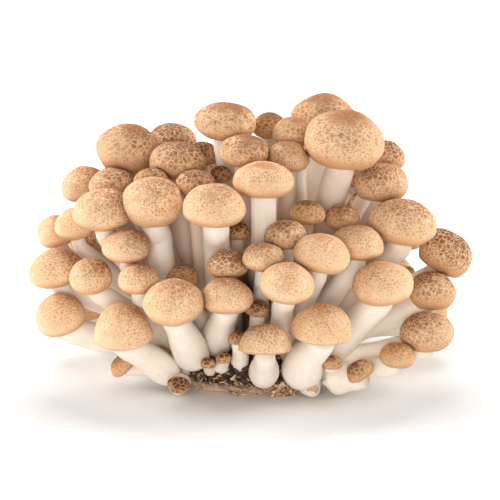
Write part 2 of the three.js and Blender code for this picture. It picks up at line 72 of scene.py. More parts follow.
SEAT_RIM = 0.6  # how much wider than the stem it is there, in mm
DOME_POWER = 0.96  # how pointed the dome is, 1 being an ellipse
PATCH_NOD = 5  # how far to the front of its crown a cap is darkest, in degrees

RIM_SECTION = (  # from the widest ring to the gills: how far out and down, as shares
    (1.0, 0.0), (0.995, 0.15), (0.97, 0.34), (0.925, 0.53), (0.865, 0.72), (0.8, 0.88),
    (0.74, 0.98), (0.7, 1.0), (0.67, 0.95),
)
GILL_REACH = 0.68  # how far out the gills reach, as a share of the cap's radius
GILL_DEPTH = 0.08  # how deep they are cut, likewise
NEAR_CAPS = 1.15  # caps are neighbours within this share of their radii added together
CLOSE_BY = 1.3  # a point farther than this from a cap's middle, in radii, is clear of it
CONTACT_SHADE_REACH = 0.4  # how far off a neighbour's skin the painted shade ends, as a share of its size
PATCH_WIDTH = 100  # where the crown's brown ends, in degrees from the darkest place
BUTTON_SINK = 0.3  # how far a small button's stem goes up into its cap, as a share of its radius
FLOOR_GAP = 0.05  # the lowest points stay this far above the floor

CAP_SPOKES = 96  # spokes round a cap: every second one is the edge of a gill
SMALL_SPOKES = 64
SMALL_CAP = 6.0  # caps of a smaller radius than this have fewer spokes
DARK_CAP = 6.5  # caps of a smaller radius than this have the dark skin
DOME_RINGS = 17
GILL_RINGS = 5
STEM_SIDES = 24
STEM_RINGS = 30
ROOTLET_SIDES = 12
FOOT_SIDES = 48
BLOCK_SIDES = 120

SIDE_CRUMBS = 420  # crumbs over the block's side and top edge
HEAP_TOP_CRUMBS = 300  # crumbs heaped on its top at the front
HEAP_SIDE_CRUMBS = 220  # crumbs down its side there
TUFT_STRAWS = 24  # splinters of the ragged tuft at the front right
FRONT_STRAWS = 50
ROUND_STRAWS = 60

BACK_SEED, TONE_SEED, CRUMB_SEED, HEAP_SEED, STRAW_SEED = 1907, 3, 5, 21, 11

SMALL_CELL = 1.0  # the width of the skin's cells low on a cap
LARGE_CELL = 1.7  # and of those round its crown
SMOOTH_FROM, SMOOTH_FULL = 72.0, 80.0  # caps between these heights get ever smoother crowns
TORN_FROM, TORN_FULL = 6.5, 3.0  # between these heights the block's side turns to a torn tan edge
FLOOR_HALF = 3000.0  # half the floor's width

# Name, place in metres, size in metres and power in watts.
LAMPS = (
    ("top_lamp", (0, 0.8, 0.95), 0.7, 9.0),
    ("front_lamp", (-0.15, -1.25, 0.13), 0.8, 11.5),
    ("left_lamp", (-0.95, 0.28, 0.5), 0.7, 11.0),
    ("right_lamp", (0.95, 0.28, 0.5), 0.7, 10.5),
)

# Each cap: name, x, y and z of the middle of its widest ring, its width, its dome height as a
# share of its radius, its lean to the right and its nod to the front in degrees, its stem's
# width, how dark its crown is from 0 to 1, and how far to the right the dark patch sits in
# degrees; this sideways shift is painted shade, darker on the cap's inner side and paler on its
# lit outer side. Some have a root of their own, a flare of the stem's root, and a rim of another
# depth.
FRONT_CAPS = [
    ("cap_top_1", -41, 21, 70, 20, 0.86, 4, 0, 7.5, 0.75, 20, None, 0.3, 0.6),
    ("cap_top_2", -26, 34, 68, 17, 0.8, 0, 0, 6, 0.9, 0),
    ("cap_top_3", -8, 21, 79, 20.5, 0.7, 3, 0, 7.5, 0.72, 10),
    ("cap_top_4", 6.5, 30, 74.5, 12, 0.9, 0, 0, 5.5, 0.75, 0),
    ("cap_top_5", 14.5, 20, 75.5, 14, 0.84, 0, 0, 7.2, 0.6, 10, (17, 12, 14.6)),
    ("cap_top_6", 24.5, 35, 76, 21.5, 0.8, 0, 0, 8.5, 0.68, 0),
    ("cap_top_7", 31, 8.5, 76, 27.5, 0.8, 8, 0, 10, 0.62, 0, None, 0.3, 0.44),
    ("cap_top_8", 44.5, 28, 65, 14.5, 0.8, 10, 0, 6.5, 0.85, -5),

    ("cap_upper_1", -55.5, 18, 58, 15.5, 0.85, -20, 0, 5.5, 0.5, 35),
    ("cap_upper_2", -45.5, 7, 61, 16, 0.82, 0, 0, 5.5, 0.75, 25),
    ("cap_upper_3", -48.2, -10, 57.5, 20, 0.82, -5, 0, 7, 0.55, 35),
    ("cap_upper_4", -32.5, 1.5, 64.5, 12, 0.82, 0, 0, 5, 0.6, 10),
    ("cap_upper_5", -32, -13.5, 62, 19.5, 0.9, 0, 6, 9, 0.5, 20, (-26, -9, 14), 0.3, 0.58),
    ("cap_upper_6", -24, 11, 68.5, 18.5, 0.76, 0, 0, 9, 0.8, 10, (-20, 8, 14.6)),
    ("cap_upper_7", -16, 24, 67, 11.5, 0.82, 0, 0, 5, 0.85, 0),
    ("cap_upper_8", -18, -3, 65, 13.5, 0.78, 0, 0, 5, 0.9, 0),
    ("cap_upper_9", -9.5, 8, 65, 7.5, 0.85, 0, 0, 4, 1.0, 0),
    ("cap_upper_10", -11.5, -23, 62.8, 20.3, 0.86, 0, 0, 9, 0.35, 10, (-8, -7, 14.6)),
    ("cap_upper_11", -2, 4.5, 74, 16.5, 0.72, 0, 0, 6, 0.8, 20),
    ("cap_upper_12", 4.5, -11, 69, 19.8, 0.64, 0, 0, 8, 0.25, 0),
    ("cap_upper_13", 12.5, 7, 71, 14.5, 0.82, 0, 0, 6, 0.5, 0),
    ("cap_upper_14", 43.5, 12.5, 61, 18.5, 0.68, 0, 0, 7, 0.75, -5, None, 0.3, 0.5),

    ("cap_middle_1", -64.3, 8, 45, 13.5, 0.9, -15, 0, 5, 0.15, 25, None, 0.3, 0.5),
    ("cap_middle_2", -57.8, 0, 50, 13.5, 0.9, -10, 0, 5, 0.15, 25, None, 0.3, 0.5),
    ("cap_middle_3", -64, -7, 36.5, 18.5, 0.8, -15, 0, 7, 0.5, 45),
    ("cap_middle_4", -52.4, -20, 38.5, 14.5, 0.9, -5, 6, 7, 0.5, 35, (-24, -10, 10), 0.3, 0.5),
    ("cap_middle_5", -40.5, -19.5, 48.5, 16.5, 0.76, 0, 0, 5, 0.5, 35),
    ("cap_middle_6", -36.5, -28, 40, 14.5, 0.8, 0, 0, 5, 0.4, 15),
    ("cap_middle_7", -22, -22, 39, 11, 0.8, 0, 0, 5, 0.65, 10),
    ("cap_middle_8", -7.5, -26, 44.5, 14, 0.74, 0, 0, 5.5, 0.85, 5),
    ("cap_middle_9", 4.5, -29, 47.8, 14.5, 0.74, 5, 0, 5, 0.55, -10),
    ("cap_middle_10", 11.5, -19.5, 52.4, 14, 0.8, -5, 0, 5, 0.8, 5),
    ("cap_middle_11", 19, -4.5, 55.5, 12, 0.76, 5, 0, 5, 0.6, 0),
    ("cap_middle_12", 30.5, -1, 52.5, 12, 0.82, 0, 0, 5, 0.65, 0),
    ("cap_middle_13", 23.5, -28, 48.5, 19, 0.76, 12, 0, 6.5, 0.15, -10),
    ("cap_middle_14", 35.5, -14.5, 47.9, 17, 0.78, 5, 0, 6.5, 0.3, -5),
    ("cap_middle_15", 50.5, -2.5, 51, 22.5, 0.78, 8, 0, 8.5, 0.6, 0),
    ("cap_middle_16", 65, 5, 39, 18.5, 0.8, 29, 0, 6.5, 0.95, -15, None, 0.3, 0.58),
    ("cap_middle_17", 60.5, -6, 29.5, 15.5, 0.78, 5, 0, 8, 0.8, -10, (19, -5, 9.5), 0.3, 0.66),

    ("cap_lower_1", -62.3, -16, 22.8, 17, 1.02, -20, 6, 9, 0.15, 40, (-30, -8, 5.4), 0.05),
    ("cap_lower_2", -41.7, -32, 22.3, 19.5, 1.16, -4, 5, 9.5, 0.15, 30, (-25.5, -21.5, 5.4),
     -0.05, 0.2),
    ("cap_lower_3", -25, -39.5, 35.6, 20, 0.82, 0, 4, 9, 0.4, 10, (-18.5, -23, 11), 0.35, 0.44),
    ("cap_lower_4", -7.5, -35, 36, 17, 0.84, 0, 0, 8.5, 0.35, 5, (-11.5, -16, 13.5), 0.3),
    ("cap_lower_5", 12, -40, 42.5, 18, 0.82, 8, 5, 7, 0.2, 0, (10, -17, 13), 0.2, 0.44),
    ("cap_lower_6", 5, -44, 21.8, 17, 1.0, 0, -14, 7, 0.5, 0, (4.5, -29, 7.6), 0.5, 0.14),
    ("cap_lower_7", 23.5, -38, 25.3, 20, 1, 3, 0, 10, 0.2, 0, (16.5, -26, 6.5), 0.45, 0.16),
    ("cap_lower_8", 43.5, -25, 37, 21, 0.78, 0, 0, 10, 0.2, -10, (24, -17, 9), 0.2),
    ("cap_lower_9", 58.5, -16.5, 18, 18, 0.78, -3, 0, 9, 0.75, -20, (23, -19, 5.8), 0.1, 0.48),
    ("cap_lower_10", 48.5, -26, 12.8, 12, 0.85, 5, 0, 6.5, 0.35, 0, (24, -24, 5), 0.2),

    ("button_cap_1", -42, -16, 6.5, 9, 0.8, -40, 0, 4, 0.35, 0, (-22, -14, 5)),
    ("button_cap_2", -23.4, -35, 6.3, 7.8, 0.5, 8, 22, 5, 1, 0, (-22.5, -26, 4.4), 0.3, 0.2),
    ("button_cap_3", 36, -31, 9.5, 10, 0.75, -30, 0, 8.5, 0.75, 0, (27, -26.5, 5.2), 0.25),
]

# The smallest buttons grow in one piece with the white mass.
WHOLE_BUTTONS = [
    ("button_shaded_1", -4, -7, 50, 8.5, 0.8, 0, 0, 4.5, 1.0, 0),
    ("button_shaded_2", 2.5, -28, 30, 8, 0.8, 0, 0, 5, 1.0, 0, (2, -16, 12)),
    ("button_shaded_3", -4, -37, 23, 6.5, 0.8, 0, 0, 4.5, 1.0, 0, (-3.5, -24.5, 9)),
    ("button_shaded_4", 52.5, 9, 31, 5, 0.8, 0, 0, 3, 0.6, 0),
    ("button_low_1", -29.5, -16.5, 10.5, 7, 0.8, 0, 0, 4, 0.6, 0, (-22, -15, 5)),
    ("button_low_2", -8.7, -30.5, 14, 5.5, 0.8, 0, 0, 4, 1.0, 0, (-9.3, -24.5, 8.5)),
    ("button_low_3", -13.7, -31.5, 12.5, 5, 0.8, 0, 0, 3.2, 1.0, 0, (-13.2, -25, 8)),
    ("button_low_4", 27, -30, 12, 6.5, 0.8, 0, 0, 4.2, 0.7, 0, (26, -24.5, 6)),
    ("button_low_5", 20.5, -31.5, 3.6, 4, 0.5, 0, -50, 5.5, 0.3, 0, (19.5, -28, 3.2)),
]

# The front mushrooms that reach back under the block's top to the white mass.
REACHING_BACK = (
    "cap_lower_2", "cap_lower_6", "cap_lower_7", "cap_lower_8", "button_low_1", "button_shaded_3",
)

# Rows of caps round the back, along an ellipse between two angles measured from +X towards +Y:
# how many, the two angles, the ellipse's half lengths, the height and the cap width.
BACK_ROWS = {
    "caps_back_low_right": (4, 19, 78, 58, 53, 19.5, 20.5),
    "caps_back_low_left": (4, 161, 102, 56, 51, 20, 20.5),
    "caps_back_middle_right": (4, 30, 74, 56, 56, 40.5, 19),
    "caps_back_middle_left": (5, 158, 96, 55, 56, 40.5, 18.5),
    "caps_back_upper_right": (3, 55, 79, 62, 53, 56, 16.5),
    "caps_back_upper_left": (3, 131, 100, 62, 52, 55.5, 18.5),
}
BACK_STEP = 2.0  # how far every second cap of a row stands up, and the others down
BACK_DOME = 0.8
BACK_STEM = 7.0
BACK_LEAN = 26.0  # how far a cap at the floor would lean outward, in degrees
LEAN_LOSS = 0.25  # how much less it leans for each millimetre up


# ---------------------------------------------------------------- one mushroom's numbers

class Mushroom:
    """Where a mushroom's widest ring is, how it leans, how large it is and how dark its crown."""

    def __init__(self, name, x, y, z, width, dome, lean, nod, stem_width, tone, side,
                 root=None, flare=STEM_FLARE, margin=MARGIN_DROP):
        self.name = name
        self.centre = Vector((x, y, z))
        self.axis = leaning(lean, nod)
        # the patch is moved sideways so that it paints shade on the cap's inner side
        self.patch = leaning(lean + side, nod + PATCH_NOD)
        self.radius = width / 2
        self.dome = dome
        self.stem = stem_width / 2
        self.tone = tone
        self.own_root = root is not None
        self.root = Vector(root) if root else self.fanned_root()
        self.flare = flare
        self.margin = margin

    def hang(self):
        """How far the cap hangs outward, in degrees from straight above the origin."""
        return math.degrees(math.atan2(math.hypot(self.centre.x, self.centre.y), self.centre.z))

    def fanned_root(self):
        out = max(math.hypot(self.centre.x, self.centre.y), 1)
        reach = ROOT_REACH * (1 - math.exp(-out / ROOT_SPREAD)) / out
        deep = FRONT_REACH if self.centre.y < 0 else 1
        height = blend(LOW_ROOT_HEIGHT, ROOT_HEIGHT, (self.centre.z - LOW_CAP) / LOW_CAP)
        return Vector((self.centre.x * reach, self.centre.y * reach * deep, height))

    def entry(self):
        """The way a stem goes into its cap: a short front stem comes in nearly straight."""
        straight = (self.seat() - self.root).normalized()
        return self.axis.lerp(straight, OWN_ENTRY if self.own_root else FANNED_ENTRY).normalized()

    def seat(self):
        """The middle of the underside, where the stem goes in."""
        return self.centre - self.axis * (SEAT_SHARE * self.margin * self.radius)


def leaning(lean, nod):
    lean, nod = math.radians(lean), math.radians(nod)
    return Vector((
        math.sin(lean),
        -math.sin(nod) * math.cos(lean),
        math.cos(nod) * math.cos(lean),
    )).normalized()


def seeded_draw(seed):
    state = seed
    while True:
        state = (state * 16807) % 2147483647
        yield state / 2147483647


def back_row(name, row, draw, tones):
    """A row's caps lean outward, step up and down in turn, and vary a little in width."""
    count, start, end, half_x, half_y, height, width = row
    caps = []
    for i in range(count):
        angle = math.radians(start + (end - start) * i / (count - 1))
        step = -1 if i % 2 == 0 else 1
        z = height + BACK_STEP * step + 2 * (next(draw) - 0.5)
        cap_width = width - 1.2 * step + 1.6 * next(draw)
        outward = BACK_LEAN - LEAN_LOSS * height
        caps.append(Mushroom(
            f"{name}_{i + 1}", half_x * math.cos(angle), half_y * math.sin(angle), z, cap_width,
            BACK_DOME, outward * math.cos(angle), -outward * math.sin(angle), BACK_STEM,
            tones.uniform(0.5, 1.0), 0,
        ))
    return caps


# ---------------------------------------------------------------- mesh helpers

def spun(profile, steps):
    """A closed shell of revolution about Z from a section that starts and ends on the axis."""
    shell = bmesh.new()
    verts = [shell.verts.new((out, 0, up)) for out, up in profile]
    edges = [shell.edges.new(pair) for pair in zip(verts, verts[1:])]
    bmesh.ops.spin(shell, geom=verts + edges, cent=(0, 0, 0), axis=UP, angle=math.tau,
                   steps=steps, use_merge=True)
    bmesh.ops.remove_doubles(shell, verts=shell.verts, dist=1e-4)
    bmesh.ops.recalc_face_normals(shell, faces=shell.faces)
    return shell


def finished(name, shape, material):
    """Turns a bmesh in millimetres into an object in metres, with smooth faces."""
    bmesh.ops.scale(shape, vec=(MM, MM, MM), verts=shape.verts)
    for face in shape.faces:
        face.smooth = True
    mesh = bpy.data.meshes.new(name)
    shape.to_mesh(mesh)
    shape.free()
    mesh.materials.append(material)
    piece = bpy.data.objects.new(name, mesh)
    bpy.context.scene.collection.objects.link(piece)
    return piece


def joined(name, parts):
    """Joins several objects into the first one."""
    whole = parts[0]
    with bpy.context.temp_override(
        active_object=whole, object=whole, selected_objects=parts, selected_editable_objects=parts
    ):
        bpy.ops.object.join()
    whole.name = name
    whole.data.name = name
    return whole


def dress(piece, slot, *nodes):
    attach(piece, "root")
    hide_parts(*nodes)


def blend(low, high, share):
    share = min(max(share, 0.0), 1.0)
    return low + (high - low) * share


# ---------------------------------------------------------------- giving way to neighbours

def body_middle(cap):
    return cap.centre + cap.axis * ((cap.dome - cap.margin) / 2 * cap.radius)


def reach_along(cap, direction):
    """How far a cap reaches from the middle of its thickness along a direction."""
    half_height = (cap.dome + cap.margin) / 2 * cap.radius
    up_share = cap.axis.dot(direction) ** 2
    return math.sqrt(cap.radius ** 2 * (1 - up_share) + half_height ** 2 * up_share)


def skin_share(cap, point):
    """1 on a cap's skin, less inside it: how far out a point lies from the cap's centre."""
    offset = point - cap.centre
    up = offset.dot(cap.axis)
    out = math.sqrt(max(offset.length_squared - up * up, 0))
    height = cap.dome if up > 0 else cap.margin
    power = 2 / DOME_POWER if up > 0 else 3
    flat = (out / cap.radius) ** power + (abs(up) / (height * cap.radius)) ** power
    return flat ** (1 / power)


def give_way(point, neighbours, clearance):
    """Moves a point that lies inside a neighbouring cap out to just above that cap's skin."""
    for cap in neighbours:
        if (point - cap.centre).length > CLOSE_BY * cap.radius:
            continue
        share = max(skin_share(cap, point), 0.3)
        clear = 1 + clearance / cap.radius
        if share < clear:
            point = cap.centre + (point - cap.centre) * (clear / share)
    return point


def near(cap, others):
    return [
        other for other in others if other is not cap
        and (other.centre - cap.centre).length < NEAR_CAPS * (other.radius + cap.radius)
    ]


# ---------------------------------------------------------------- caps

def spokes_of(cap):
    return CAP_SPOKES if cap.radius > SMALL_CAP else SMALL_SPOKES


def cap_section(cap):
    """Half of a cap's section, from the crown over the rolled rim and back along the gills."""
    radius, margin = cap.radius, cap.margin
    seat = min(max(SEAT_SMALLEST * radius, cap.stem + SEAT_RIM), SEAT_LARGEST * radius)
    points = []
    for i in range(DOME_RINGS):
        angle = i / DOME_RINGS * math.pi / 2
        out = math.sin(angle) ** DOME_POWER
        up = math.cos(angle) ** DOME_POWER
        points.append((out * radius, up * cap.dome * radius))
    for out, down in RIM_SECTION:
        points.append((out * radius, -down * margin * radius))
    gill_out, gill_down = RIM_SECTION[-1]
    for i in range(1, GILL_RINGS + 1):
        out = blend(gill_out * radius, seat, i / GILL_RINGS)
        down = blend(gill_down, SEAT_SHARE + 0.08, i / GILL_RINGS) * margin * radius
        points.append((out, -down))
    points.append((0, -SEAT_SHARE * margin * radius))
    return points


def shape_cap(shell, cap, neighbours, around):
    """Gives a spun cap its gills and its lobed, slightly dented form, and moves it into place."""
    radius = cap.radius
    spokes = spokes_of(cap)
    turn = cap.centre.x * 1.7 + cap.centre.y
    place = UP.rotation_difference(cap.axis)
    names = ("crown", "tone", "under", "rim", "contact_shade")
    crown, tone, under, rim, contact_shade = (shell.verts.layers.float.new(name) for name in names)
    for vert in shell.verts:
        x, y, z = vert.co
        out = math.hypot(x, y)
        angle = math.atan2(y, x)
        lobe = 1 + 0.02 * math.sin(2 * angle + turn) + 0.015 * math.sin(3 * angle - turn)
        below = z < 0 and out < GILL_REACH * radius
        if below:
            ridge = round(angle / math.tau * spokes) % 2
            depth = GILL_DEPTH * radius * min((GILL_REACH * radius - out) / (0.1 * radius), 1)
            z += ridge * depth
        point = place @ Vector((x * lobe, y * lobe, z)) + cap.centre
        dents = noise.noise(point / (0.7 * radius)) * 0.06 + noise.noise(point / 1.9) * 0.008
        point += (point - cap.centre) * (0 if below else dents)
        shape = Vector((x / radius, y / radius, z / (cap.dome * radius if z > 0 else radius)))
        facing = (place @ shape).normalized().dot(cap.patch)
        vert[crown] = 1 - math.acos(min(max(facing, -1), 1)) / math.radians(PATCH_WIDTH)
        vert[tone] = cap.tone
        vert[under] = 1 if below else 0
        vert[rim] = max(-z / (cap.margin * radius), 0)
        # painted shade: how close this point of the skin lies to a neighbouring cap
        vert[contact_shade] = contact_shade_share(point, around)
        vert.co = give_way(point, neighbours, GAP)


def contact_shade_share(point, around):
    """How much painted shade darkens a cap's skin: 1 where it presses on a neighbour, and 0 a few
    millimetres away from it.
    """
    shares = (min(max((1 + CONTACT_SHADE_REACH - skin_share(cap, point)) / CONTACT_SHADE_REACH, 0), 1) ** 2
              for cap in around)
    return max(shares, default=0)


def cap_piece(cap, neighbours, around, material):
    """A cap that gives way to some neighbours, and is darkened with painted shade where it presses
    on any.
    """
    shell = spun(cap_section(cap), spokes_of(cap))
    shape_cap(shell, cap, neighbours, around)
    return finished("beech_" + cap.name, shell, material)


# ---------------------------------------------------------------- stems

def bezier_points(start, low, high, end, count):
    points = []
    for i in range(count + 1):
        t = i / count
        points.append((1 - t) ** 3 * start + 3 * t * (1 - t) ** 2 * low
                      + 3 * t * t * (1 - t) * high + t ** 3 * end)
    return points


def stem_radius(cap, along):
    return cap.stem * (1 + cap.flare * (1 - along) ** 2)


def step_aside(away, short):
    """A stem gives way mostly in depth, so that it still looks upright from the front."""
    way = Vector((away.x * 0.4, away.y, away.z * 0.3)).normalized()
    return way * min(0.5 * short / max(away.dot(way), 0.4), LARGEST_STEP)


def stem_points(cap, caps, top_drop):
    """The middle line of a stem rises from its root, and bends clear of every cap in its way."""
    root = cap.root
    top = cap.seat() - cap.axis * top_drop
    span = top - root
    rise = Vector((span.x * 0.5, span.y * 0.5, span.z * 0.7)).normalized()
    low = root + rise * (span.length * 0.35)
    straight_end = 0.3 if cap.own_root else 0.45 - 0.003 * cap.hang()
    high = top - cap.entry() * (span.length * straight_end)
    points = bezier_points(root, low, high, top, ROUTE_STEPS)
    points.insert(ROUTE_STEPS, top - cap.entry() * min(NECK_LENGTH, 0.15 * span.length))
    for _ in range(ROUTE_ROUNDS):
        for i in range(1, ROUTE_STEPS):
            for other in caps:
                if other is cap:
                    continue
                away = points[i] - body_middle(other)
                distance = away.length
                away.normalize()
                short = reach_along(other, away) + cap.stem + PASSING_GAP - distance
                if short > 0:
                    points[i] = points[i] + step_aside(away, short)
            points[i] = points[i].lerp((points[i - 1] + points[i + 1]) / 2, 0.1)
            points[i].z = max(points[i].z, stem_radius(cap, i / ROUTE_STEPS) + STEM_FLOOR)
    return points


def on_route(points, along):
    """A point at a share of a smooth centripetal curve through the points."""
    place = min(max(along, 0.0), 1.0) * (len(points) - 1)
    i = min(int(place), len(points) - 2)
    share = place - i
    b, c = points[i], points[i + 1]
    a = points[i - 1] if i > 0 else b * 2 - c
    d = points[i + 2] if i + 2 < len(points) else c * 2 - b
    first, second, third = ((q - p).length ** 0.5 for p, q in ((a, b), (b, c), (c, d)))
    slope_b = ((b - a) / first - (c - a) / (first + second) + (c - b) / second) * second
    slope_c = ((c - b) / second - (d - b) / (second + third) + (d - c) / third) * second
    bend = slope_b * share + (-3 * b + 3 * c - 2 * slope_b - slope_c) * share ** 2
    return b + bend + (2 * b - 2 * c + slope_b + slope_c) * share ** 3


def stem_section():
    """Half of a stem's section at unit width, from a rounded root at 0 up to the cap at 1."""
    points = [(0, -0.06), (0.3, -0.055), (0.56, -0.04), (0.8, -0.012)]
    for i in range(STEM_RINGS):
        along = 0.03 + 0.97 * i / (STEM_RINGS - 1)
        points.append((1, along))
    points.append((0, 1.0))
    return points


def bulge(along):
    """A real stem swells above its root and draws in again where it is buried."""
    return 1 + 0.1 * math.sin(math.pi * min(along / 0.5, 1)) - 0.12 * max(1 - along / 0.12, 0)


def shape_stem(shell, cap, caps, top_drop):
    points = stem_points(cap, caps, top_drop)
    grain = shell.verts.layers.float_vector.new("grain")
    others = [other for other in caps if other is not cap]
    length = sum((q - p).length for p, q in zip(points, points[1:]))
    turn = cap.centre.x + 2 * cap.centre.y
    for vert in shell.verts:
        x, y, along = vert.co
        middle = on_route(points, along)
        ahead = (on_route(points, min(along + 0.01, 1))
                 - on_route(points, max(min(along, 1) - 0.01, 0)))
        ahead.normalize()
        if along < 0:
            middle = middle + ahead * (along * length)
        angle = math.atan2(y, x)
        wide = stem_radius(cap, min(max(along, 0), 1)) * bulge(max(along, 0))
        wide *= 1 + 0.03 * math.sin(2 * angle + turn)
        wide *= 1 + 0.04 * noise.noise(Vector((turn, 3 * along, 1)))
        offset = UP.rotation_difference(ahead) @ (Vector((x, y, 0)) * wide)
        vert[grain] = Vector((x * cap.stem, y * cap.stem, along * length + 7 * turn)) * MM
        point = give_way(middle + offset, others, GAP)
        vert.co = (point.x, point.y, max(point.z, FLOOR_GAP))


def stem_piece(cap, caps, top_drop, material):
    shell = spun(stem_section(), STEM_SIDES)
    shape_stem(shell, cap, caps, top_drop)
    return finished(cap.name + "_stem", shell, material)


def rootlet(cap, material):
    """The buried end of a low stem, from its root back into the white mass."""
    inner = Vector((cap.root.x * 0.5, cap.root.y * 0.5, FOOT_BOTTOM + 2))
    along = cap.root - inner
    shape = bmesh.new()
    bmesh.ops.create_cone(shape, cap_ends=True, segments=ROOTLET_SIDES,
                          radius1=cap.stem * 0.6, radius2=cap.stem * 0.8, depth=along.length)
    turn = UP.rotation_difference(along)
    for vert in shape.verts:
        vert.co = turn @ vert.co + (inner + cap.root) / 2
    return finished(cap.name + "_rootlet", shape, material)


def foot(material):
    """The white mass on the block, in which the stems begin."""
    arc = [math.pi / 2 * i / 12 for i in range(13)]
    profile = [(0, 0)] + [(math.cos(a) * FOOT_RADIUS, math.sin(a) * FOOT_HEIGHT) for a in arc[:-1]]
    shell = spun(profile + [(0, FOOT_HEIGHT)], FOOT_SIDES)
    for vert in shell.verts:
        point = vert.co + Vector((0, FOOT_BACK, FOOT_BOTTOM))
        vert.co = point + Vector((vert.co.x, vert.co.y, 0)) * noise.noise(point / 6) * 0.25
    return finished("foot", shell, material)


# ---------------------------------------------------------------- growing block

def block_core(material):
    profile = [(0, 0), (0.55, 0), (0.9, 0), (0.95, 0.07), (0.97, 0.18), (1.0, 0.35), (1.0, 0.5),
               (0.98, 0.66), (0.95, 0.82), (0.88, 0.93), (0.8, 1), (0.5, 1), (0, 1)]
    shell = spun([(out * BLOCK_RADIUS, up * BLOCK_HEIGHT) for out, up in profile], BLOCK_SIDES)
    for vert in shell.verts:
        x, y, z = vert.co
        angle = math.atan2(y, x)
        lump = (math.sin(5 * angle + 0.4 * z) + 0.7 * math.sin(11 * angle - z)
                + 0.5 * math.sin(17 * angle))
        swell = 1 + 0.018 * lump
        lift = 1 + 0.06 * math.sin(3 * angle + 1)
        point = Vector((x * swell, y * swell, z * lift))
        crumble = noise.noise(point / 2.2) * 1.0 + noise.noise(point / 0.9) * 0.5
        share = min(math.hypot(x, y) / BLOCK_RADIUS, 1)
        point += Vector((x, y, 0)).normalized() * crumble * share if z > 0.01 else Vector()
        point.z = max(point.z, 0)
        vert.co = point
    return finished("growing_medium", shell, material)


def on_ring(angle, out, height):
    return Vector((out * math.cos(angle), out * math.sin(angle), height))


def crumb(middle, size, pick, material):
    """One crumb of bran: a small round lump, stretched, turned and dented."""
    lump = bmesh.new()
    bmesh.ops.create_icosphere(lump, subdivisions=1, radius=size)
    stretch = Vector((pick.uniform(0.6, 1.5), pick.uniform(0.6, 1.2), pick.uniform(0.5, 1.0)))
    turn = (Matrix.Rotation(pick.uniform(0, math.tau), 3, "Z")
            @ Matrix.Rotation(pick.uniform(-1, 1), 3, "X"))
    for vert in lump.verts:
        point = turn @ Vector(vert.co * stretch)
        point *= 1 + 0.35 * noise.noise(point * 1.7 + middle)
        vert.co = middle + point
        vert.co.z = max(vert.co.z, FLOOR_GAP)
    return finished("crumb", lump, material)


def crumbs(material):
    """Crumbs of bran and sawdust all over the block's side and top edge."""
    pick = random.Random(CRUMB_SEED)
    parts = []
    for _ in range(SIDE_CRUMBS):
        middle = on_ring(pick.uniform(0, math.tau), BLOCK_RADIUS * pick.uniform(0.93, 1.0),
                         pick.uniform(0.6, BLOCK_HEIGHT))
        parts.append(crumb(middle, pick.uniform(0.35, 1.1), pick, material))
    return joined("medium_crumbs", parts)


def dark_heap(material):
    """The dark crumbs heaped between the stem bases at the front."""
    pick = random.Random(HEAP_SEED)
    parts = []
    for i in range(HEAP_TOP_CRUMBS + HEAP_SIDE_CRUMBS):
        on_top = i < HEAP_TOP_CRUMBS
        out = pick.uniform(0.55, 1.02) if on_top else pick.uniform(0.97, 1.03)
        top = BLOCK_HEIGHT + 4.5 * (1 - out) / 0.45
        angle = math.radians(pick.uniform(-150, -30))
        middle = on_ring(angle, BLOCK_RADIUS * out, top - pick.uniform(0, 5 if on_top else 7.5))
        parts.append(crumb(middle, pick.uniform(0.6, 1.5), pick, material))
    return joined("medium_heap", parts)


def strip(middle, length, width, turn, curl, material):
    """A flat splinter of straw, bent along its length."""
    shape = bmesh.new()
    bmesh.ops.create_cube(shape, size=1)
    lengthwise = [edge for edge in shape.edges
                  if abs(edge.verts[0].co.x - edge.verts[1].co.x) > 0.5]
    bmesh.ops.subdivide_edges(shape, edges=lengthwise, cuts=4)
    for vert in shape.verts:
        along, across, thick = vert.co
        taper = 1 - 0.6 * abs(along * 2) ** 3
        point = turn @ Vector((along * length, across * width * taper,
                               thick * width * 0.45 + curl * length * along * along))
        vert.co = middle + point
        vert.co.z = max(vert.co.z, FLOOR_GAP)
    return finished("strip", shape, material)


def straws(material):
    """Straw splinters all round the block, with more at the front and one ragged tuft."""
    pick = random.Random(STRAW_SEED)
    parts = []
    for i in range(TUFT_STRAWS + FRONT_STRAWS + ROUND_STRAWS):
        tuft = i < TUFT_STRAWS
        if i < TUFT_STRAWS + FRONT_STRAWS:
            angle = math.radians(pick.gauss(-67, 4.5) if tuft else pick.uniform(-128, -72))
        else:
            angle = pick.uniform(0, math.tau)
        height = pick.uniform(0.3, 4.0) if tuft else pick.uniform(0.6, 7.5)
        out = pick.uniform(0.98, 1.09) if tuft else pick.uniform(0.92, 1.03)
        middle = on_ring(angle, BLOCK_RADIUS * out, height)
        turn = (Matrix.Rotation(angle + math.pi / 2, 3, "Z")
                @ Matrix.Rotation(pick.uniform(-1.4, 1.4), 3, "Y")
                @ Matrix.Rotation(pick.uniform(-1.2, 0.9), 3, "Z")
                @ Matrix.Rotation(pick.uniform(0.4, 2.6), 3, "X"))
        length = pick.uniform(2.5, 5.5) if tuft else pick.uniform(1.2, 4.2)
        width = pick.uniform(0.7, 1.9) if tuft else pick.uniform(0.3, 0.8)
        parts.append(strip(middle, length, width, turn, pick.uniform(-0.9, 0.9), material))
    return joined("medium_straws", parts)


# ---------------------------------------------------------------- materials

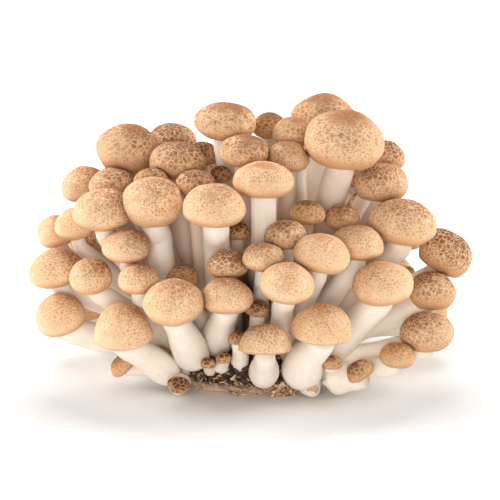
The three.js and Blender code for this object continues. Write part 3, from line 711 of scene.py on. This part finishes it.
class Nodes:
    """Short words for the nodes of one material."""

    def __init__(self, name):
        self.material = bpy.data.materials.new(name)
        self.material.use_nodes = True
        self.tree = self.material.node_tree
        self.shader = self.tree.nodes["Principled BSDF"]

    def add(self, kind, **settings):
        node = self.tree.nodes.new(kind)
        for key, value in settings.items():
            setattr(node, key, value)
        return node

    def link(self, source, target):
        self.tree.links.new(source, target)

    def feed(self, socket, value):
        if isinstance(value, bpy.types.NodeSocket):
            self.link(value, socket)
        else:
            socket.default_value = value

    def value_of(self, attribute):
        return self.add("ShaderNodeAttribute", attribute_name=attribute).outputs["Fac"]

    def place(self):
        return self.add("ShaderNodeTexCoord").outputs["Object"]

    def stretched(self, vector, stretch, shift=(0, 0, 0)):
        mapping = self.add("ShaderNodeMapping")
        mapping.inputs["Scale"].default_value = stretch
        mapping.inputs["Location"].default_value = shift
        self.link(vector, mapping.inputs["Vector"])
        return mapping.outputs["Vector"]

    def egg(self, place, middle, halves):
        """0 in the middle of an egg-shaped space, and 1 on its skin. Its middle and its half
        sizes are in millimetres."""
        node = self.add("ShaderNodeVectorMath", operation="LENGTH")
        stretch = [1 / (half * MM) for half in halves]
        shift = [-along / half for along, half in zip(middle, halves)]
        self.link(self.stretched(place, stretch, shift), node.inputs[0])
        return node.outputs["Value"]

    def height_of(self, place):
        """The height above the floor, in metres."""
        node = self.add("ShaderNodeSeparateXYZ")
        self.link(place, node.inputs[0])
        return node.outputs[2]

    def maths(self, operation, first, second=0.0, third=0.0):
        node = self.add("ShaderNodeMath", operation=operation)
        for socket, value in zip(node.inputs, (first, second, third)):
            self.feed(socket, value)
        return node.outputs[0]

    def spread(self, value, low, high, to_low=0.0, to_high=1.0):
        """Maps a value smoothly from one range to another, and holds it there."""
        node = self.add("ShaderNodeMapRange", interpolation_type="SMOOTHSTEP")
        for name, given in (("Value", value), ("From Min", low), ("From Max", high),
                            ("To Min", to_low), ("To Max", to_high)):
            self.feed(node.inputs[name], given)
        return node.outputs["Result"]

    def noise(self, vector, size, detail):
        node = self.add("ShaderNodeTexNoise")
        self.link(vector, node.inputs["Vector"])
        node.inputs["Scale"].default_value = 1 / (size * MM)
        node.inputs["Detail"].default_value = detail
        return node.outputs["Fac"]

    def bent_by(self, place, size, amount):
        """A place pushed about by a noise, so that what is drawn at it has uneven edges."""
        shift = self.add("ShaderNodeTexNoise")
        self.link(place, shift.inputs["Vector"])
        shift.inputs["Scale"].default_value = 1 / (size * MM)
        bent = self.add("ShaderNodeVectorMath", operation="MULTIPLY_ADD")
        self.link(shift.outputs["Color"], bent.inputs[0])
        bent.inputs[1].default_value = (amount * MM,) * 3
        self.link(place, bent.inputs[2])
        return bent.outputs[0]

    def cells(self, vector, size, feature):
        node = self.add("ShaderNodeTexVoronoi", feature=feature)
        self.link(vector, node.inputs["Vector"])
        node.inputs["Scale"].default_value = 1 / (size * MM)
        return node.outputs

    def lots_of(self, cells):
        """Three random values that stay the same all over a cell."""
        node = self.add("ShaderNodeSeparateColor")
        self.link(cells["Color"], node.inputs[0])
        return node.outputs

    def between(self, share, first, second):
        """A value on the way from the first to the second."""
        return self.maths("MULTIPLY_ADD", share, self.maths("SUBTRACT", second, first), first)

    def mix(self, share, first, second, kind="MIX"):
        node = self.add("ShaderNodeMix", data_type="RGBA", blend_type=kind)
        self.feed(node.inputs["Factor"], share)
        self.feed(node.inputs[6], first)
        self.feed(node.inputs[7], second)
        return node.outputs[2]

    def finish(self, colour, roughness, sheen=0.5):
        self.feed(self.shader.inputs["Base Color"], colour)
        self.feed(self.shader.inputs["Roughness"], roughness)
        self.shader.inputs["Specular IOR Level"].default_value = sheen

    def raise_by(self, height, strength, distance):
        """Dents the surface by a height between 0 and 1. The distance is in millimetres."""
        bump = self.add("ShaderNodeBump")
        bump.inputs["Strength"].default_value = strength
        bump.inputs["Distance"].default_value = distance * MM
        self.link(height, bump.inputs["Height"])
        self.link(bump.outputs["Normal"], self.shader.inputs["Normal"])


def tint(red, green, blue):
    """A colour given in the usual 0 to 255 steps, as the linear values that a shader needs."""
    shares = (step / 255 for step in (red, green, blue))
    return (*(((share + 0.055) / 1.055) ** 2.4 for share in shares), 1.0)


def skin_net(n, bent, height, tone):
    """How near a cell's edge a place on the skin is, and a random value for each cell. The cells
    are larger round the crown."""
    coarse = n.spread(n.maths("MULTIPLY_ADD", height, 0.6, tone), 0.6, 0.95)
    sizes = (SMALL_CELL, LARGE_CELL)
    edges = [n.cells(bent, size, "DISTANCE_TO_EDGE")["Distance"] for size in sizes]
    lots = [n.lots_of(n.cells(bent, size, "F1"))[0] for size in sizes]
    return n.between(coarse, *edges), n.between(coarse, *lots)


def skin_marks(n, place, height, tone):
    """How strongly the brown cells, the pale lines round them and the fine specks show. The
    cells and lines begin where the crown's brown does, and fade out on the highest crowns."""
    rise = n.maths("MULTIPLY_ADD", n.maths("SUBTRACT", tone, 0.5), 0.5, height)
    bent = n.bent_by(place, 1.1, 0.9)
    edge, lot = skin_net(n, bent, height, tone)
    patchy = n.noise(place, 2.4, 3)
    high_up = n.spread(n.height_of(place), SMOOTH_FROM * MM, SMOOTH_FULL * MM)
    bare = n.between(high_up, 1.0, n.spread(height, 0.5, 0.8, 1.0, 0.25))

    net = n.maths("MULTIPLY", n.spread(rise, 0.0, 0.55), n.spread(rise, 1.1, 0.85, 0.35, 1.0))
    depth = n.maths("MULTIPLY", n.spread(lot, 0.1, 0.9, 0.55, 0.9),
                    n.maths("MULTIPLY_ADD", tone, 0.6, 0.45))
    filled = n.maths("MULTIPLY", n.spread(edge, -0.02, 0.3), n.spread(patchy, 0.3, 0.6, 0.55, 1.0))
    cell_share = n.maths("MULTIPLY", n.maths("MULTIPLY", filled, depth),
                         n.maths("MULTIPLY", net, bare))

    broken = n.maths("MULTIPLY", n.noise(place, 1.6, 2), 0.2)
    line = n.maths("SUBTRACT", 1.0, n.spread(edge, 0.0, broken))
    line_share = n.maths("MULTIPLY", n.maths("MULTIPLY", line, bare),
                         n.spread(rise, 0.1, 0.65, 0.0, 0.72))

    fine = n.cells(bent, SMALL_CELL, "DISTANCE_TO_EDGE")["Distance"]
    band = n.maths("MULTIPLY", n.spread(rise, -0.3, 0.1), n.spread(rise, 1.2, 0.7, 0.35, 1.0))
    speck = n.maths("MULTIPLY", n.spread(fine, 0.0, 0.34), n.spread(patchy, 0.3, 0.6, 0.35, 1.0))
    speck_share = n.maths("MULTIPLY", n.maths("MULTIPLY", speck, band), 0.6)
    return cell_share, line_share, speck_share


def skin_ground(n, place, height, tone, margin, tan, crown_brown):
    """The skin without its net: pale at the margin, then tan, blushed here and there, and
    browned at the crown."""
    ground = n.mix(n.spread(height, 0.05, 0.6), tint(*margin), tint(*tan))
    blush = n.spread(n.noise(place, 6.0, 2), 0.4, 0.7, 0.0, 0.4)
    blushed = n.mix(blush, ground, tint(228, 176, 126))
    toned = n.mix(n.spread(tone, 0.5, 1.0, 0.0, 0.4), blushed, tint(190, 132, 84))
    upper = n.maths("MULTIPLY_ADD", n.maths("SUBTRACT", tone, 0.5), 0.25, height)
    return n.mix(n.spread(upper, 0.4, 0.95), toned, crown_brown)


def cap_skin(name, margin, tan, crown, cell, line):
    """Tan skin that browns to the crown, under a net of pale lines round brown cells. Each of
    the last three colours is a pair, for the palest and the darkest caps."""
    n = Nodes(name)
    place = n.place()
    tone = n.value_of("tone")
    wander = n.maths("MULTIPLY_ADD", n.noise(place, 5.0, 3), 0.5, -0.25)
    height = n.maths("ADD", n.value_of("crown"), wander)
    cell_share, line_share, speck_share = skin_marks(n, place, height, tone)
    crown_brown, cell_brown, line_pale = (
        n.mix(tone, tint(*pale), tint(*dark)) for pale, dark in (crown, cell, line)
    )
    ground = skin_ground(n, place, height, tone, margin, tan, crown_brown)
    lined = n.mix(line_share, n.mix(cell_share, ground, cell_brown), line_pale)
    specked = n.mix(speck_share, lined, n.mix(tone, tint(204, 134, 76), cell_brown))
    # painted shade: the rolled rim darkens towards its lower edge
    rim_shaded = n.mix(n.spread(n.value_of("rim"), 0.0, 0.9, 0.0, 0.65), specked, tint(202, 146, 98))
    # painted shade: the skin turns deep brown where it presses on a neighbouring cap
    contact_shade = n.mix(n.maths("MULTIPLY", n.value_of("contact_shade"), 0.6), rim_shaded, tint(132, 80, 46))
    darker = n.mix(1.0, contact_shade, (0.88, 0.86, 0.84, 1), "MULTIPLY")
    lighter = n.mix(1.0, contact_shade, (1.12, 1.12, 1.12, 1), "MULTIPLY")
    mottled = n.mix(n.noise(place, 0.35, 2), darker, lighter)
    n.finish(n.mix(n.value_of("under"), mottled, tint(222, 196, 160)),
             roughness=n.spread(cell_share, 0.0, 1.0, 0.65, 0.55), sheen=0.12)
    n.raise_by(n.maths("SUBTRACT", cell_share, line_share), 0.3, 0.1)
    return n.material


def stem_flesh():
    """Cream white flesh with faint lengthwise fibres, and painted shade: browner deep inside the
    cluster and dark in the hollow at its middle."""
    n = Nodes("stem_flesh")
    place = n.place()
    grain = n.add("ShaderNodeAttribute", attribute_name="grain").outputs["Vector"]
    fibres = n.noise(n.stretched(grain, (1, 1, 0.07)), 1.2, 2)
    blotch = n.noise(place, 7.0, 2)
    cream = n.mix(n.spread(fibres, 0.3, 0.75), tint(243, 230, 214), tint(247, 236, 222))
    warm = n.mix(n.maths("MULTIPLY", n.spread(blotch, 0.5, 0.8), 0.3), cream, tint(226, 200, 170))
    # painted shade: the flesh browns towards the middle of the cluster, where little light reaches
    inside = n.egg(place, (0, 1.98, 41.8), (70, 22, 44))
    depth = n.maths("ADD", n.spread(inside, 0.9, 0.35, 0.0, 0.45),
                    n.spread(inside, 0.35, 0.1, 0.0, 0.2))
    inner = n.mix(depth, warm, tint(192, 140, 100))
    # painted shade: the flesh turns dark brown in the hollow at the cluster's middle
    hollow = n.egg(place, (-1.98, -7.95, 23.94), (11, 15, 18))
    n.finish(n.mix(n.spread(hollow, 1.0, 0.5, 0.0, 0.9), inner, tint(70, 46, 32)),
             roughness=0.6, sheen=0.3)
    n.raise_by(fibres, 0.03, 0.1)
    return n.material


def shaded_flesh():
    """The fused mass in which the stems begin, painted brown all over: painted shade for a mass
    that no light reaches.
    """
    n = Nodes("shaded_flesh")
    blotch = n.noise(n.place(), 3.0, 3)
    n.finish(n.mix(n.spread(blotch, 0.3, 0.7), tint(96, 66, 46), tint(140, 102, 74)), 0.8)
    n.raise_by(blotch, 0.2, 0.4)
    return n.material


def medium_matter(name, dark_share):
    """Dark bran and sawdust with paler grains, tan along the torn lower edge."""
    n = Nodes(name)
    place = n.place()
    lots = n.lots_of(n.cells(place, 1.1, "F1"))
    damp = n.noise(place, 4.0, 3)
    dark = n.mix(n.spread(damp, 0.35, 0.65), tint(34, 22, 15), tint(84, 56, 38))
    light = n.mix(lots[0], tint(138, 98, 66), tint(190, 152, 112))
    grained = n.mix(n.spread(lots[1], dark_share, 1.0), dark, light)
    uneven = n.maths("MULTIPLY_ADD", damp, 4 * MM, n.height_of(place))
    torn_share = n.spread(uneven, TORN_FROM * MM, TORN_FULL * MM, 0.0, 0.9)
    torn = n.mix(n.noise(place, 1.5, 2), tint(208, 164, 124), tint(242, 210, 176))
    n.finish(n.mix(torn_share, grained, torn), 0.9)
    n.raise_by(n.noise(place, 0.7, 4), 0.8, 0.5)
    return n.material


def straw_matter():
    """Dry straw, brown in some places and pale in others, with lengthwise fibres."""
    n = Nodes("straw")
    place = n.place()
    shade = n.noise(place, 1.4, 3)
    n.finish(n.mix(n.spread(shade, 0.32, 0.62), tint(112, 72, 44), tint(240, 206, 166)), 0.7)
    n.raise_by(n.noise(n.stretched(place, (1, 1, 0.3)), 0.4, 3), 0.5, 0.2)
    return n.material


def floor_finish():
    n = Nodes("floor")
    n.finish((0.93, 0.925, 0.92, 1), roughness=0.9, sheen=0.1)
    return n.material


# ---------------------------------------------------------------- assembly

def build_caps(shown, buttons, rows):
    everyone = shown + buttons + [cap for caps in rows.values() for cap in caps]
    skin = cap_skin(
        "cap_skin", margin=(238, 204, 166), tan=(243, 205, 163),
        crown=((204, 142, 92), (124, 74, 46)), cell=((192, 132, 78), (128, 74, 38)),
        line=((253, 230, 206), (246, 212, 174)),
    )
    dark_skin = cap_skin(
        "dark_cap_skin", margin=(224, 186, 146), tan=(214, 168, 116),
        crown=((176, 120, 78), (102, 62, 40)), cell=((168, 108, 60), (92, 56, 32)),
        line=((244, 214, 178), (222, 182, 138)),
    )

    for i, cap in enumerate(shown):
        slot, finish = ("dark_cap", dark_skin) if cap.radius < DARK_CAP else ("cap", skin)
        piece = cap_piece(cap, near(cap, shown[:i]), near(cap, everyone), finish)
        dress(piece, slot, cap.name)

    taken = shown + buttons
    for name, caps in rows.items():
        parts = [cap_piece(cap, near(cap, taken), near(cap, everyone), skin) for cap in caps]
        dress(joined("beech_" + name, parts), "cap", name)
        taken = taken + caps

    parts = [cap_piece(cap, near(cap, shown), near(cap, everyone), dark_skin) for cap in buttons]
    dress(joined("beech_small_buttons", parts), "dark_cap", "stems")


def build_stems(shown, buttons, hidden):
    everyone = shown + buttons + hidden
    flesh = stem_flesh()
    parts = [stem_piece(cap, everyone, STEM_DROP, flesh) for cap in shown + hidden]
    parts += [stem_piece(cap, everyone, -BUTTON_SINK * cap.radius, flesh) for cap in buttons]
    parts += [rootlet(cap, flesh) for cap in everyone if cap.name in REACHING_BACK]
    parts.append(foot(shaded_flesh()))
    dress(joined("beech_stems", parts), "stem", "stems")


def build_block():
    medium = medium_matter("growing_medium", 0.6)
    bran = medium_matter("dark_bran", 0.85)
    for piece in (block_core(medium), crumbs(medium), dark_heap(bran), straws(straw_matter())):
        dress(piece, "growing_medium", "growing_block")


def build_object():
    draw = seeded_draw(BACK_SEED)
    tones = random.Random(TONE_SEED)
    shown = [Mushroom(*row) for row in FRONT_CAPS]
    buttons = [Mushroom(*row) for row in WHOLE_BUTTONS]
    rows = {name: back_row(name, row, draw, tones) for name, row in BACK_ROWS.items()}
    build_caps(shown, buttons, rows)
    build_stems(shown, buttons, [cap for caps in rows.values() for cap in caps])
    build_block()


def soft_light(name, place, aim, size, power):
    data = bpy.data.lights.new(name, "AREA")
    data.shape = "DISK"
    data.size = size
    data.energy = power
    light = bpy.data.objects.new(name, data)
    bpy.context.scene.collection.objects.link(light)
    light.location = place
    light.rotation_euler = (Vector(aim) - Vector(place)).to_track_quat("-Z", "Y").to_euler()


def studio():
    """A plain pale floor, even soft light all round, and four large soft lamps."""
    shape = bmesh.new()
    bmesh.ops.create_grid(shape, x_segments=1, y_segments=1, size=FLOOR_HALF)
    floor = finished("floor", shape, floor_finish())
    world = bpy.data.worlds.new("studio")
    bpy.context.scene.world = world
    world.use_nodes = True
    background = world.node_tree.nodes["Background"]
    background.inputs["Color"].default_value = (1, 1, 1, 1)
    background.inputs["Strength"].default_value = 0.28
    for name, place, size, power in LAMPS:
        soft_light(name, place, (0, 0, 0.04), size, power)
    bpy.context.scene.view_settings.view_transform = "Standard"


def camera():
    """Looks at the front from 18 degrees above, through a long lens."""
    lens, sensor, frame_width, elevation = 500, 36, 0.1667, math.radians(18)
    target = Vector((0, 0.0123, 0.0377))
    forward = Vector((0, math.cos(elevation), -math.sin(elevation)))
    data = bpy.data.cameras.new("camera")
    data.lens = lens
    data.sensor_width = sensor
    data.clip_end = 50
    eye = bpy.data.objects.new("camera", data)
    bpy.context.scene.collection.objects.link(eye)
    eye.location = target - forward * (frame_width * lens / sensor)
    eye.rotation_euler = forward.to_track_quat("-Z", "Y").to_euler()
    bpy.context.scene.camera = eye


camera()
studio()
build_object()
